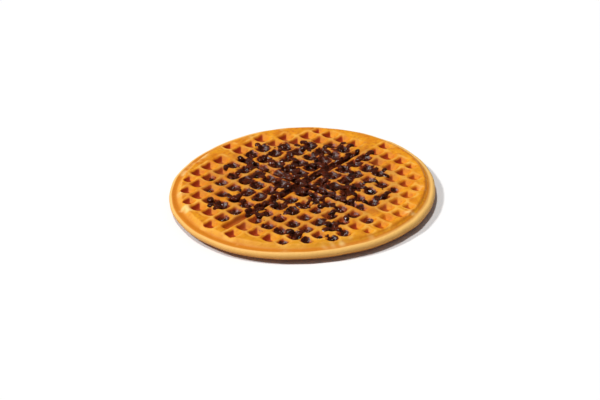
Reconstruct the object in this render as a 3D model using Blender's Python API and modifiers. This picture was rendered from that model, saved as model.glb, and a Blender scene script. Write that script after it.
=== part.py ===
"""A thin round waffle, 180 mm across, with a square grid of pockets on both faces.

Two shallow channels cross in the middle and part the grid into four quarters. Melted chocolate
chips fill the pockets of the upper face over the middle and sit fused to the batter. The waffle
lies flat, its lower ribs on z = 0, with +Z up and the origin at the middle of its box.
"""
import math
import random

import bmesh
import bpy
from mathutils import Matrix, Vector

# The round of batter, in metres
EDGE_RADIUS = 0.0897
THICKNESS = 0.0110
BEAD_RADIUS = 0.0026
BEAD_SWEEP = 100.0
BEAD_STEPS = 5
PLATEAU_RADIUS = 0.0818
SHOULDER_RADIUS = 0.0834
SHOULDER_DROP = 0.0012
GROOVE_RADIUS = 0.0850
GROOVE_DROP = 0.0034
TURN_STEPS = 60

# How the hand-filled edge strays from a true circle: how far, how many waves, and where a crest lies
EDGE_WAVES = ((0.0007, 3, 95.0), (0.0004, 5, 100.0), (0.0003, 2, 170.0))
PLATEAU_DRIFT = 0.0008
PLATEAU_DRIFT_ANGLE = 10.0

# The grid that the iron presses into both faces
GRID_ANGLE = 46.8
PITCH = 0.01134
CHANNEL_PITCH = 0.0078
RIB_CREST = 0.0024
POCKET_DEPTH = 0.0038
POCKET_FLOOR = 0.0036
CHANNEL_DEPTH = 0.0030
CHANNEL_FLOOR = 0.0026
CHANNELS = ((-0.0770, 0.0600, "along"), (-0.0600, 0.0600, "across"), (-0.0805, -0.0690, "across"))
ROWS_PER_QUARTER = 7
GRID_REACH = 0.0796

# Pockets at the edge, by row and row, that still printed beyond the reach, and some that did not
FULLY_PRINTED = {(2, -7), (-2, -7)}
UNPRINTED = {(7, 1), (-1, 7), (4, 6), (5, 5)}

# How the pockets are fitted to the batter
POCKET_LIMIT = 0.0822
POCKET_STRAY = 0.00025
POCKET_SIZE = (0.95, 1.03)
CUT_PROUD = 0.0010

# The chocolate chips: a heap in a pocket is one low drop, and a lone chip a smaller and deeper one
CHIP_LENGTH = (0.0060, 0.0096)
SMALL_LENGTH = (0.0036, 0.0046)
CHIP_WIDTH = 0.82
CHIP_HEIGHT = 0.0064
CHIP_TOP = (-0.0004, 0.0012)
SMALL_SINK = 0.0012
CHIP_STRAY = 0.0015
FRONT_EDGE = -0.0380
FRONT_SHARE = 0.84
CHIP_SIDES = 6
CHIP_RINGS = 4

# The stretch of pockets that hold chips in each row of the grid, and the pockets that hold a lone chip
CHIP_ROWS = {5: (-1, 2), 4: (-3, 3), 3: (-4, 4), 2: (-5, 5), 1: (-5, 5), -1: (-6, 5), -2: (-5, 4),
             -3: (-6, 4), -4: (-6, 3), -5: (-5, 2), -6: (-4, -4)}
LONE_CHIPS = {(-3, 5), (-4, 4), (-6, 1), (3, -5), (-1, -6), (5, 2), (-5, -1), (-2, -3), (-2, -4), (-4, -5)}
RIB_CHIP_CHANCE = 0.16
CHANNEL_CHIP_STEP = 0.0085
CHANNEL_CHIP_REACH = 0.0520
BARE_STRETCH = (0.0200, 0.0340)
SEED = 7

BATTER_COLOUR = (0.72, 0.36, 0.09, 1.0)
BATTER_ROUGHNESS = 0.55


def clear_scene():
    for thing in list(bpy.data.objects):
        bpy.data.objects.remove(thing, do_unlink=True)


def new_collection(name):
    collection = bpy.data.collections.new(name)
    bpy.context.scene.collection.children.link(collection)
    return collection


def object_from_bmesh(bm, name, collection):
    mesh = bpy.data.meshes.new(name)
    bm.to_mesh(mesh)
    bm.free()
    thing = bpy.data.objects.new(name, mesh)
    collection.objects.link(thing)
    return thing


def evaluated_mesh(thing):
    bpy.context.view_layer.update()
    graph = bpy.context.evaluated_depsgraph_get()
    return bpy.data.meshes.new_from_object(thing.evaluated_get(graph), depsgraph=graph)


# The edge of the batter, all round

def edge_stray(angle):
    """How far the edge lies outside the true circle at an angle in radians."""
    return sum(size * math.cos(waves * (angle - math.radians(crest))) for size, waves, crest in EDGE_WAVES)


def outline_middle():
    """The middle of the outline's box, which the origin is moved to."""
    angles = [math.tau * step / TURN_STEPS for step in range(TURN_STEPS)]
    radii = [EDGE_RADIUS + edge_stray(angle) for angle in angles]
    across = [radius * math.cos(angle) for radius, angle in zip(radii, angles)]
    deep = [radius * math.sin(angle) for radius, angle in zip(radii, angles)]
    return Vector((max(across) + min(across), max(deep) + min(deep), 0.0)) / 2


def rim_profile():
    """The turned outline at +X, from the upper face's edge round the bead to the lower face's edge."""
    middle = THICKNESS / 2
    bead_centre = EDGE_RADIUS - BEAD_RADIUS
    sweep = math.radians(BEAD_SWEEP)
    upper = [(PLATEAU_RADIUS, THICKNESS), (SHOULDER_RADIUS, THICKNESS - SHOULDER_DROP),
             (GROOVE_RADIUS, THICKNESS - GROOVE_DROP)]
    bead = []
    for step in range(BEAD_STEPS + 1):
        angle = sweep - 2 * sweep * step / BEAD_STEPS
        bead.append((bead_centre + BEAD_RADIUS * math.cos(angle), middle + BEAD_RADIUS * math.sin(angle)))
    lower = [(radius, THICKNESS - height) for radius, height in reversed(upper)]
    return upper + bead + lower


def batter_round(collection):
    """The turned band of the rim, strayed from a true circle and closed by a flat face on each side."""
    profile = bmesh.new()
    points = [profile.verts.new((radius, 0.0, height)) for radius, height in rim_profile()]
    for first, second in zip(points, points[1:]):
        profile.edges.new((first, second))
    band = object_from_bmesh(profile, "rim_profile", collection)
    screw = band.modifiers.new("turn", "SCREW")
    screw.axis = "Z"
    screw.steps = TURN_STEPS
    screw.render_steps = TURN_STEPS
    screw.use_merge_vertices = True
    screw.merge_threshold = 0.00001
    turned = evaluated_mesh(band)
    bpy.data.objects.remove(band, do_unlink=True)

    bm = bmesh.new()
    bm.from_mesh(turned)
    middle = outline_middle()
    for vert in bm.verts:
        angle = math.atan2(vert.co.y, vert.co.x)
        radius = math.hypot(vert.co.x, vert.co.y)
        inside_groove = radius < (SHOULDER_RADIUS + GROOVE_RADIUS) / 2
        drift = PLATEAU_DRIFT * math.cos(angle - math.radians(PLATEAU_DRIFT_ANGLE)) if inside_groove else 0.0
        scale = (radius + edge_stray(angle) + drift) / radius
        vert.co.x = vert.co.x * scale - middle.x
        vert.co.y = vert.co.y * scale - middle.y
    bmesh.ops.holes_fill(bm, edges=[edge for edge in bm.edges if edge.is_boundary])
    bmesh.ops.recalc_face_normals(bm, faces=bm.faces)
    return object_from_bmesh(bm, "waffle", collection)


# The grid

def row_place(row):
    """Where a row of pockets lies across a dividing channel, for row ±1, ±2 and so on."""
    return math.copysign(CHANNEL_PITCH / 2 + (abs(row) - 0.5) * PITCH, row)


def grid_turn():
    return Matrix.Rotation(math.radians(GRID_ANGLE), 4, "Z")


def pockets(rng):
    """Each pocket's two rows, its centre along the two grid directions, and its size against a full one."""
    rows = [row for row in range(-ROWS_PER_QUARTER, ROWS_PER_QUARTER + 1) if row]
    found = []
    for first in rows:
        for second in rows:
            along, across = row_place(first), row_place(second)
            distance = math.hypot(along, across)
            stray = [rng.uniform(-POCKET_STRAY, POCKET_STRAY) for _ in range(2)]
            size = rng.uniform(*POCKET_SIZE)
            angle = math.atan2(across, along)
            beyond = distance > GRID_REACH and (first, second) not in FULLY_PRINTED
            if beyond or (first, second) in UNPRINTED:
                continue
            half = (PITCH - RIB_CREST) / 2 * (abs(math.cos(angle)) + abs(math.sin(angle)))
            if distance + half > POCKET_LIMIT:
                kept = (POCKET_LIMIT - distance + half) / 2
                pull = (POCKET_LIMIT + distance - half) / 2 / distance
                along, across, size = along * pull, across * pull, size * kept / half
            found.append((first, second, along + stray[0], across + stray[1], size))
    return found


def tapered_cutter(bm, centre, opening, floor, depth, side):
    """A four-sided cutter that narrows into the batter from the upper (side 1) or lower (side -1) face."""
    made = bmesh.ops.create_cube(bm, size=1.0)["verts"]
    face_height = THICKNESS if side > 0 else 0.0
    for vert in made:
        outer = vert.co.z * side > 0
        size = [wide + (wide - narrow) * CUT_PROUD / depth if outer else narrow
                for wide, narrow in zip(opening, floor)]
        height = CUT_PROUD if outer else -depth
        vert.co = Vector((vert.co.x * size[0] + centre[0], vert.co.y * size[1] + centre[1],
                          face_height + side * height))
    return made


def pocket_cutters(found, collection):
    bm = bmesh.new()
    opening = PITCH - RIB_CREST
    for _, _, along, across, size in found:
        for side in (1, -1):
            tapered_cutter(bm, (along, across), (opening * size,) * 2, (POCKET_FLOOR * size,) * 2,
                           POCKET_DEPTH * min(1.0, size), side)
    bmesh.ops.transform(bm, matrix=grid_turn(), verts=bm.verts)
    bmesh.ops.recalc_face_normals(bm, faces=bm.faces)
    return object_from_bmesh(bm, "pocket_cutter", collection)


def channel_cutter(start, end, direction, collection):
    bm = bmesh.new()
    centre = ((start + end) / 2, 0.0)
    opening = (end - start, CHANNEL_PITCH - RIB_CREST)
    floor = (opening[0] - 2 * (opening[1] - CHANNEL_FLOOR), CHANNEL_FLOOR)
    if direction == "across":
        centre, opening, floor = centre[::-1], opening[::-1], floor[::-1]
    for side in (1, -1):
        tapered_cutter(bm, centre, opening, floor, CHANNEL_DEPTH, side)
    bmesh.ops.transform(bm, matrix=grid_turn(), verts=bm.verts)
    bmesh.ops.recalc_face_normals(bm, faces=bm.faces)
    return object_from_bmesh(bm, "channel_cutter", collection)


# The chocolate chips

def heap(place, rng):
    """A heap's place, length and top over the face: smaller at the front, and a small one lies deeper."""
    share = FRONT_SHARE if place.y < FRONT_EDGE else 1.0
    length = rng.uniform(*CHIP_LENGTH) * share
    smallness = (CHIP_LENGTH[1] - length) / (CHIP_LENGTH[1] - CHIP_LENGTH[0])
    return place, length, rng.uniform(*CHIP_TOP) - SMALL_SINK * smallness


def pocket_chips(found, rng):
    """A heap or a lone chip in each pocket of the patch, and some more heaps over the ribs."""
    turn = grid_turn()
    chips = []
    for first, second, along, across, _ in found:
        place = turn @ Vector((along, across, 0.0))
        stray = Vector([rng.uniform(-CHIP_STRAY, CHIP_STRAY) for _ in range(2)] + [0.0])
        over_rib = rng.random()
        direction = rng.choice(((1, 0), (0, 1)))
        low, high = CHIP_ROWS.get(first, (0, 0))
        if (first, second) in LONE_CHIPS:
            chips.append((place + stray, rng.uniform(*SMALL_LENGTH), rng.uniform(*CHIP_TOP) - SMALL_SINK))
        elif low <= second <= high:
            chips.append(heap(place + stray, rng))
            if over_rib < RIB_CHIP_CHANCE:
                step = turn @ Vector((direction[0] * PITCH / 2, direction[1] * PITCH / 2, 0.0))
                chips.append(heap(place + step, rng))
    return chips


def channel_chips(rng):
    """Heaps along the two channels, with one bare stretch."""
    turn = grid_turn()
    chips = []
    steps = int(CHANNEL_CHIP_REACH / CHANNEL_CHIP_STEP)
    for line in ((1, 0), (0, 1)):
        for step in range(-steps, steps + 1):
            along = step * CHANNEL_CHIP_STEP + rng.uniform(-CHIP_STRAY, CHIP_STRAY)
            chip = heap(turn @ Vector((line[0] * along, line[1] * along, 0.0)), rng)
            second_line = line == (0, 1)
            middle_taken = second_line and step == 0
            bare = second_line and BARE_STRETCH[0] < along < BARE_STRETCH[1]
            if not middle_taken and not bare:
                chips.append(chip)
    return chips


def chip_shape():
    """One low drop of chocolate, one metre across until it is scaled, shared by all chips."""
    bm = bmesh.new()
    bmesh.ops.create_uvsphere(bm, u_segments=CHIP_SIDES, v_segments=CHIP_RINGS, radius=0.5)
    mesh = bpy.data.meshes.new("chip")
    bm.to_mesh(mesh)
    bm.free()
    return mesh


def add_chips(chips, rng, collection):
    shape = chip_shape()
    for place, length, rise in chips:
        chip = bpy.data.objects.new("chip", shape)
        chip.location = (place.x, place.y, THICKNESS + rise - CHIP_HEIGHT / 2)
        chip.rotation_euler = (0.0, 0.0, rng.uniform(0.0, math.pi))
        chip.scale = (length, length * CHIP_WIDTH, CHIP_HEIGHT)
        collection.objects.link(chip)


def boolean(thing, name, operation, collection):
    step = thing.modifiers.new(name, "BOOLEAN")
    step.operation = operation
    step.operand_type = "COLLECTION"
    step.collection = collection
    step.solver = "EXACT"


def apply_steps(thing):
    solid = evaluated_mesh(thing)
    thing.modifiers.clear()
    thing.data = solid
    solid.name = thing.name


def linked_faces(start):
    """All the faces of the body that a face belongs to."""
    found = {start}
    waiting = [start]
    while waiting:
        for edge in waiting.pop().edges:
            fresh = [face for face in edge.link_faces if face not in found]
            found.update(fresh)
            waiting.extend(fresh)
    return found


def keep_largest_body(thing):
    """Fills the specks of air that the chips seal against the pocket floors."""
    bm = bmesh.new()
    bm.from_mesh(thing.data)
    bodies = []
    left = set(bm.faces)
    while left:
        body = linked_faces(next(iter(left)))
        left -= body
        bodies.append(body)
    bodies.sort(key=len)
    specks = [face for body in bodies[:-1] for face in body]
    bmesh.ops.delete(bm, geom=specks, context="FACES")
    bm.to_mesh(thing.data)
    bm.free()


def remove_collection(collection):
    for thing in list(collection.objects):
        bpy.data.objects.remove(thing, do_unlink=True)
    bpy.data.collections.remove(collection)


def batter_material():
    material = bpy.data.materials.new("batter")
    material.use_nodes = True
    shader = material.node_tree.nodes["Principled BSDF"]
    shader.inputs["Base Color"].default_value = BATTER_COLOUR
    shader.inputs["Roughness"].default_value = BATTER_ROUGHNESS
    shader.inputs["Metallic"].default_value = 0.0
    return material


def main():
    clear_scene()
    rng = random.Random(SEED)
    parts = new_collection("waffle")
    cutters = new_collection("cutters")
    toppings = new_collection("toppings")

    waffle = batter_round(parts)
    found = pockets(rng)
    pocket_cutters(found, cutters)
    for start, end, direction in CHANNELS:
        channel_cutter(start, end, direction, cutters)
    for cutter in cutters.objects:
        cutter.hide_render = True
        cutter.display_type = "WIRE"
    boolean(waffle, "press grid", "DIFFERENCE", cutters)
    apply_steps(waffle)
    remove_collection(cutters)

    chips = pocket_chips(found, rng) + channel_chips(rng)
    add_chips(chips, rng, toppings)
    boolean(waffle, "fuse chips", "UNION", toppings)
    apply_steps(waffle)
    remove_collection(toppings)
    keep_largest_body(waffle)
    waffle.data.materials.clear()
    waffle.data.materials.append(batter_material())
    print("pockets on each face:", len(found), "chips:", len(chips))


main()
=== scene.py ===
# %% [markdown]
# # A chocolate chip waffle
#
# A thin round waffle comes out of a hinged iron. Both faces carry the iron's grid of pockets, two
# shallow channels cross in the middle, and the batter that the iron squeezes out sets as a soft bead
# round the edge. Chips that were strewn over the middle have half melted into the pockets.
#
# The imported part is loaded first. It is the frame: every size and place below agrees with it.

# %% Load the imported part
import math
import random

import bmesh
import bpy
import numpy as np
from mathutils import Euler, Matrix, Vector, noise


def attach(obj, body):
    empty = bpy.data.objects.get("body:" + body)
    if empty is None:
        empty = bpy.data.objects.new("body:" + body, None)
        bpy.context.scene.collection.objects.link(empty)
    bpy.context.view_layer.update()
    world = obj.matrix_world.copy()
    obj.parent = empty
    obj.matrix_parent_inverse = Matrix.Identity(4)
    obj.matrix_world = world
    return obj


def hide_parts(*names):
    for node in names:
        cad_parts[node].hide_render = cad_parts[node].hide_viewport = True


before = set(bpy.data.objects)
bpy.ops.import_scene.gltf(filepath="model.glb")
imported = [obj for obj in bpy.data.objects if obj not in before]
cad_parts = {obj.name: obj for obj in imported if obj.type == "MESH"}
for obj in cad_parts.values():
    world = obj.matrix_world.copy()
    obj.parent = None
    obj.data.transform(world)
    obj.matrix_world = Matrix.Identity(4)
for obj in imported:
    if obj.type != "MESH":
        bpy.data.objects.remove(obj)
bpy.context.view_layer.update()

# %% [markdown]
# ## The sizes
#
# A waffle is mostly one pressed pattern, so a few sizes drive everything: the pitch of the grid, the
# depth of a pocket and the radii of the rim. They could be measured off the loaded solid, but the
# solid's corners are sharp and the baked ones are soft, so the same rule is repeated here in metres.

# %% Sizes of the batter and its grid
EDGE_RADIUS = 0.0897
THICKNESS = 0.0110
MIDDLE = THICKNESS / 2
BEAD_RADIUS = 0.0026
BEAD_SWEEP = 100.0
PLATEAU_RADIUS = 0.0818
SHOULDER_RADIUS = 0.0834
SHOULDER_DROP = 0.0012
GROOVE_RADIUS = 0.0850
GROOVE_DROP = 0.0034
EDGE_WAVES = ((0.0007, 3, 95.0), (0.0004, 5, 100.0), (0.0003, 2, 170.0))
PLATEAU_DRIFT = 0.0008
PLATEAU_DRIFT_ANGLE = 10.0

GRID_ANGLE = 46.8
PITCH = 0.01134
CHANNEL_PITCH = 0.0078
RIB_CREST = 0.0024
POCKET_DEPTH = 0.0038
POCKET_FLOOR = 0.0036
CHANNEL_DEPTH = 0.0030
CHANNEL_FLOOR = 0.0026
CHANNELS = ((-0.0770, 0.0600, "along"), (-0.0600, 0.0600, "across"), (-0.0805, -0.0690, "across"))
ROWS_PER_QUARTER = 7
GRID_REACH = 0.0796
FULLY_PRINTED = {(2, -7), (-2, -7)}
UNPRINTED = {(7, 1), (-1, 7), (4, 6), (5, 5)}
POCKET_LIMIT = 0.0822
POCKET_STRAY = 0.00025
POCKET_SIZE = (0.95, 1.03)

# %% [markdown]
# ## The sizes of the chips
#
# A handful of chips melts to one low heap a pocket wide, and a lone chip stays smaller and lies deeper.
# Each row of the grid tells from which pocket to which it is filled, which follows the strewn patch
# with far fewer numbers than a place for each chip.

# %% Sizes of the chips, and the pockets that hold them
CHIP_LENGTH = (0.0060, 0.0096)
SMALL_LENGTH = (0.0036, 0.0046)
CHIP_WIDTH = 0.82
CHIP_TOP = (-0.0004, 0.0012)
SMALL_SINK = 0.0012
CHIP_STRAY = 0.0015
FRONT_EDGE = -0.0380
FRONT_SHARE = 0.84
CHIP_ROWS = {5: (-1, 2), 4: (-3, 3), 3: (-4, 4), 2: (-5, 5), 1: (-5, 5), -1: (-6, 5), -2: (-5, 4),
             -3: (-6, 4), -4: (-6, 3), -5: (-5, 2), -6: (-4, -4)}
LONE_CHIPS = {(-3, 5), (-4, 4), (-6, 1), (3, -5), (-1, -6), (5, 2), (-5, -1), (-2, -3), (-2, -4), (-4, -5)}
RIB_CHIP_CHANCE = 0.16
CHANNEL_CHIP_STEP = 0.0085
CHANNEL_CHIP_REACH = 0.0520
BARE_STRETCH = (0.0200, 0.0340)
SEED = 7


# %% [markdown]
# ## Where the pockets and the chips lie
#
# The iron has four quarters of square pockets, each starting half a channel from the dividing lines.
# The pockets at the edge are cut short by the rim. A list of places typed by hand would be long and
# could not be changed, so two loops work them out, with small seeded strays as on a real iron.

# %% Pockets by row and row
def row_place(row):
    """Where a row of pockets lies across a dividing channel, for row ±1, ±2 and so on."""
    return math.copysign(CHANNEL_PITCH / 2 + (abs(row) - 0.5) * PITCH, row)


def pockets(rng):
    """Each pocket's two rows, its centre along the two grid directions, and its size against a full one."""
    rows = [row for row in range(-ROWS_PER_QUARTER, ROWS_PER_QUARTER + 1) if row]
    found = []
    for first in rows:
        for second in rows:
            along, across = row_place(first), row_place(second)
            distance = math.hypot(along, across)
            stray = [rng.uniform(-POCKET_STRAY, POCKET_STRAY) for _ in range(2)]
            size = rng.uniform(*POCKET_SIZE)
            angle = math.atan2(across, along)
            beyond = distance > GRID_REACH and (first, second) not in FULLY_PRINTED
            if beyond or (first, second) in UNPRINTED:
                continue
            half = (PITCH - RIB_CREST) / 2 * (abs(math.cos(angle)) + abs(math.sin(angle)))
            if distance + half > POCKET_LIMIT:
                kept = (POCKET_LIMIT - distance + half) / 2
                pull = (POCKET_LIMIT + distance - half) / 2 / distance
                along, across, size = along * pull, across * pull, size * kept / half
            found.append((first, second, along + stray[0], across + stray[1], size))
    return found


rng = random.Random(SEED)
grid_turn = Matrix.Rotation(math.radians(GRID_ANGLE), 4, "Z")
pocket_list = pockets(rng)
print("pockets on each face:", len(pocket_list))


# %% [markdown]
# ## Where the chips lie
#
# Chips roll off the ribs into the pockets and the channels, and only some melt on top of a rib. So each
# heap starts from a pocket or a step along a channel, and strays a little from it. A free scatter over
# the face would leave chips where none can rest.

# %% Chips in the pockets, over some ribs and along the channels
def heap(place, rng):
    """A heap's place, length and top over the face: smaller at the front, and a small one lies deeper."""
    share = FRONT_SHARE if place.y < FRONT_EDGE else 1.0
    length = rng.uniform(*CHIP_LENGTH) * share
    smallness = (CHIP_LENGTH[1] - length) / (CHIP_LENGTH[1] - CHIP_LENGTH[0])
    return place, length, rng.uniform(*CHIP_TOP) - SMALL_SINK * smallness


def pocket_chips(found, rng):
    """A heap or a lone chip in each pocket of the patch, and some more heaps over the ribs."""
    chips = []
    for first, second, along, across, _ in found:
        place = grid_turn @ Vector((along, across, 0.0))
        stray = Vector([rng.uniform(-CHIP_STRAY, CHIP_STRAY) for _ in range(2)] + [0.0])
        over_rib = rng.random()
        direction = rng.choice(((1, 0), (0, 1)))
        low, high = CHIP_ROWS.get(first, (0, 0))
        if (first, second) in LONE_CHIPS:
            chips.append((place + stray, rng.uniform(*SMALL_LENGTH), rng.uniform(*CHIP_TOP) - SMALL_SINK))
        elif low <= second <= high:
            chips.append(heap(place + stray, rng))
            if over_rib < RIB_CHIP_CHANCE:
                step = grid_turn @ Vector((direction[0] * PITCH / 2, direction[1] * PITCH / 2, 0.0))
                chips.append(heap(place + step, rng))
    return chips


def channel_chips(rng):
    """Heaps along the two channels, with one bare stretch."""
    chips = []
    steps = int(CHANNEL_CHIP_REACH / CHANNEL_CHIP_STEP)
    for line in ((1, 0), (0, 1)):
        for step in range(-steps, steps + 1):
            along = step * CHANNEL_CHIP_STEP + rng.uniform(-CHIP_STRAY, CHIP_STRAY)
            chip = heap(grid_turn @ Vector((line[0] * along, line[1] * along, 0.0)), rng)
            second_line = line == (0, 1)
            middle_taken = second_line and step == 0
            bare = second_line and BARE_STRETCH[0] < along < BARE_STRETCH[1]
            if not middle_taken and not bare:
                chips.append(chip)
    return chips


chip_list = pocket_chips(pocket_list, rng) + channel_chips(rng)
chip_turns = [rng.uniform(0.0, math.pi) for _ in chip_list]
print("chips:", len(chip_list))


# %% [markdown]
# ## The round of batter, flat
#
# The pockets have four creased corners and soft crests, so the face needs points all along its ribs.
# A displaced plane would miss them. Here a grid is laid along the ribs, with its lines spaced so that
# they fall on the crests, trimmed to a circle, and joined to turned rings for the rim. The two halves
# are made the same way, the hidden lower one with fewer lines, and are welded at the bead.

# %% Lay the grid along the ribs
UPPER_LINES = 18
LOWER_LINES = 10
TRIM_RADIUS = 0.0820
SEAM_RADIUS = 0.0826
RIM_STEPS = 600
BEAD_RINGS = 9
SHOULDER_RINGS = 4
SAME_PLACE = 1e-5


def line_place(index, pitch_lines):
    """Where a grid line lies: some over half a channel, then a set number to each pitch."""
    channel_lines = round(pitch_lines * CHANNEL_PITCH / PITCH / 2)
    inside = min(abs(index), channel_lines) * CHANNEL_PITCH / 2 / channel_lines
    outside = max(abs(index) - channel_lines, 0) * PITCH / pitch_lines
    return math.copysign(inside + outside, index)


def trimmed_grid(pitch_lines):
    """A grid along the ribs, without what lies outside the trim circle."""
    bm = bmesh.new()
    lines = math.ceil(TRIM_RADIUS / PITCH * pitch_lines) + 1
    bmesh.ops.create_grid(bm, x_segments=2 * lines, y_segments=2 * lines, size=lines)
    for vert in bm.verts:
        along, across = (line_place(round(index), pitch_lines) for index in vert.co.xy)
        vert.co = Vector((along, across, THICKNESS))
    bmesh.ops.transform(bm, matrix=grid_turn, verts=bm.verts)
    outside = [vert for vert in bm.verts if math.hypot(vert.co.x, vert.co.y) > TRIM_RADIUS]
    bmesh.ops.delete(bm, geom=outside, context="VERTS")
    loose = [vert for vert in bm.verts if len(vert.link_faces) == 0]
    bmesh.ops.delete(bm, geom=loose, context="VERTS")
    return bm


# %% [markdown]
# ## The rim and the two halves
#
# Outside the grid the waffle is turned: a shoulder, a groove and a soft bead. Rings that are extruded
# from one circle give the bead its round section, and a fill of triangles joins the circle to the
# stairs that the trimming left. One half turned over makes the other, so they weld without a gap.

# %% Join the grid to the rings of the shoulder, groove and bead
def rim_profile():
    """Radius and height of each ring outside the seam, down to the bead's widest line."""
    rings = [(SEAM_RADIUS + (GROOVE_RADIUS - SEAM_RADIUS) * step / SHOULDER_RINGS, THICKNESS)
             for step in range(1, SHOULDER_RINGS + 1)]
    for step in range(BEAD_RINGS + 1):
        angle = math.radians(BEAD_SWEEP) * (1 - step / BEAD_RINGS)
        rings.append((EDGE_RADIUS - BEAD_RADIUS + BEAD_RADIUS * math.cos(angle),
                      MIDDLE + BEAD_RADIUS * math.sin(angle)))
    return rings


def add_rim(bm):
    stairs = [edge for edge in bm.edges if edge.is_boundary]
    circle = bmesh.ops.create_circle(bm, segments=RIM_STEPS, radius=SEAM_RADIUS,
                                     matrix=Matrix.Translation((0.0, 0.0, THICKNESS)))["verts"]
    loop = [edge for edge in {edge for vert in circle for edge in vert.link_edges}]
    bmesh.ops.triangle_fill(bm, edges=stairs + loop, use_beauty=True)
    for radius, height in rim_profile():
        made = bmesh.ops.extrude_edge_only(bm, edges=loop)["geom"]
        ring = {item for item in made if isinstance(item, bmesh.types.BMVert)}
        loop = [item for item in made if isinstance(item, bmesh.types.BMEdge)
                and item.verts[0] in ring and item.verts[1] in ring]
        for vert in ring:
            scale = radius / math.hypot(vert.co.x, vert.co.y)
            vert.co = Vector((vert.co.x * scale, vert.co.y * scale, height))


def flat_round():
    """Both halves, the lower one turned over, welded along the bead's widest line."""
    bm = trimmed_grid(LOWER_LINES)
    add_rim(bm)
    for vert in bm.verts:
        vert.co.z = THICKNESS - vert.co.z
    upper = trimmed_grid(UPPER_LINES)
    add_rim(upper)
    half = bpy.data.meshes.new("half")
    upper.to_mesh(half)
    upper.free()
    bm.from_mesh(half)
    bpy.data.meshes.remove(half)
    edge = [vert for vert in bm.verts if abs(vert.co.z - MIDDLE) < SAME_PLACE]
    bmesh.ops.remove_doubles(bm, verts=edge, dist=SAME_PLACE)
    bmesh.ops.recalc_face_normals(bm, faces=bm.faces)
    return bm


bm = flat_round()
print("open edges:", sum(not edge.is_manifold for edge in bm.edges), "triangles:",
      sum(len(face.verts) - 2 for face in bm.faces))


# %% Keep the flat round as an object
def object_from_bmesh(bm, name):
    mesh = bpy.data.meshes.new(name)
    bm.to_mesh(mesh)
    bm.free()
    thing = bpy.data.objects.new(name, mesh)
    bpy.context.scene.collection.objects.link(thing)
    return thing


batter = object_from_bmesh(bm, "waffle_batter")


# %% [markdown]
# ## Pressing the pattern
#
# The iron's work is one height for each point of the face: how deep the nearest pocket or channel is
# there. It could be cut with solids, as the part's source does, but cutters leave knife edges. A
# height function rounds the crests and floors and can be uneven, like batter that rose a little more
# here than there. All points are worked out at once with arrays.

# %% How deep each point of the face is pressed
POCKET_SQUARENESS = 5.0
CREST_ROUND = 0.0011
FLOOR_SHARE = 0.8
FACE_UNEVEN = 0.00025
CREST_UNEVEN = 0.00035
RIB_SAG = 0.00045
GRID_WANDER = 0.00040
PRINT_DEPTH = (0.86, 1.0)
CHANNEL_RAMP = 0.0040
FAINT_ANGLE = -25.0
FAINT_START = 0.020
FAINT_SHARE = 0.20
FAINT_NARROW = 0.0008
FAR = 9.0  # more than any distance that is measured in parts of a pocket or a chip


def ease(value):
    """From 0 to 1 with a soft start and a soft end."""
    value = np.clip(value, 0.0, 1.0)
    return value * value * (3.0 - 2.0 * value)


LATTICE_TURN = np.array(Euler((0.7, 0.5, 0.9)).to_matrix())
LATTICE_STEP = np.array((1.0, 2.7, 1.3))
PATTERN = {"face": 0.0, "bead": 2.0, "smear": 3.0, "spread": 4.0, "crest": 5.0, "crags": 6.0, "along": 7.0,
           "swell": 8.0, "across": 9.0, "crust": 11.0, "blotches": 12.0, "pools": 14.0, "wiped": 16.0,
           "ragged": 18.0, "scuffs": 21.0, "small scuffs": 23.0}


def noise_at(points, scale, pattern):
    """Smooth noise from about -1 to 1 with lumps about scale apart. No two patterns coincide.

    The noise is turned against the axes, so that no lump looks square.
    """
    turned = points @ LATTICE_TURN / scale + PATTERN[pattern] * LATTICE_STEP
    return np.array([noise.noise(point) for point in turned.tolist()])


def prints():
    """Each pocket's centre, half opening and depth: uneven, and fainter where the batter ran thin."""
    rng = random.Random(SEED + 2)
    faint = math.radians(FAINT_ANGLE - GRID_ANGLE)
    found = []
    for _, _, along, across, size in pocket_list:
        out = along * math.cos(faint) + across * math.sin(faint)
        fading = min(max((out - FAINT_START) / (EDGE_RADIUS - FAINT_START), 0.0), 1.0)
        opening = (PITCH - RIB_CREST) / 2 * size + CREST_ROUND - FAINT_NARROW * fading
        depth = POCKET_DEPTH * min(1.0, size) * rng.uniform(*PRINT_DEPTH) * (1.0 - FAINT_SHARE * fading)
        found.append((along, across, opening, POCKET_FLOOR / 2 * size * FLOOR_SHARE, depth))
    return found


def pocket_press(along, across):
    """Depth under the nearest pocket, how far out in its cell each point lies, and how near a crossing."""
    depth = np.zeros(len(along))
    reach_out = np.full(len(along), FAR)
    crossing = np.ones(len(along))
    for centre_along, centre_across, opening, floor, deepest in prints():
        off_along, off_across = np.abs(along - centre_along), np.abs(across - centre_across)
        near = (off_along < PITCH) & (off_across < PITCH)
        off_along, off_across = off_along[near], off_across[near]
        reach = (off_along ** POCKET_SQUARENESS + off_across ** POCKET_SQUARENESS) ** (1 / POCKET_SQUARENESS)
        wall = ease((opening - reach) / (opening - floor))
        depth[near] = np.maximum(depth[near], deepest * wall)
        closer = reach / opening < reach_out[near]
        aside = np.minimum(off_along, off_across) / (PITCH / 2)
        reach_out[near] = np.where(closer, reach / opening, reach_out[near])
        crossing[near] = np.where(closer, aside, crossing[near])
    return depth, reach_out, crossing


def channel_press(along, across, start, end):
    """Depth in a channel that runs along one grid direction from its start to its end."""
    opening = (CHANNEL_PITCH - RIB_CREST) / 2 + CREST_ROUND
    floor = CHANNEL_FLOOR / 2 * FLOOR_SHARE
    inside = ease(np.minimum(along - start, end - along) / CHANNEL_RAMP)
    return CHANNEL_DEPTH * inside * ease((opening - np.abs(across)) / (opening - floor))


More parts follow.
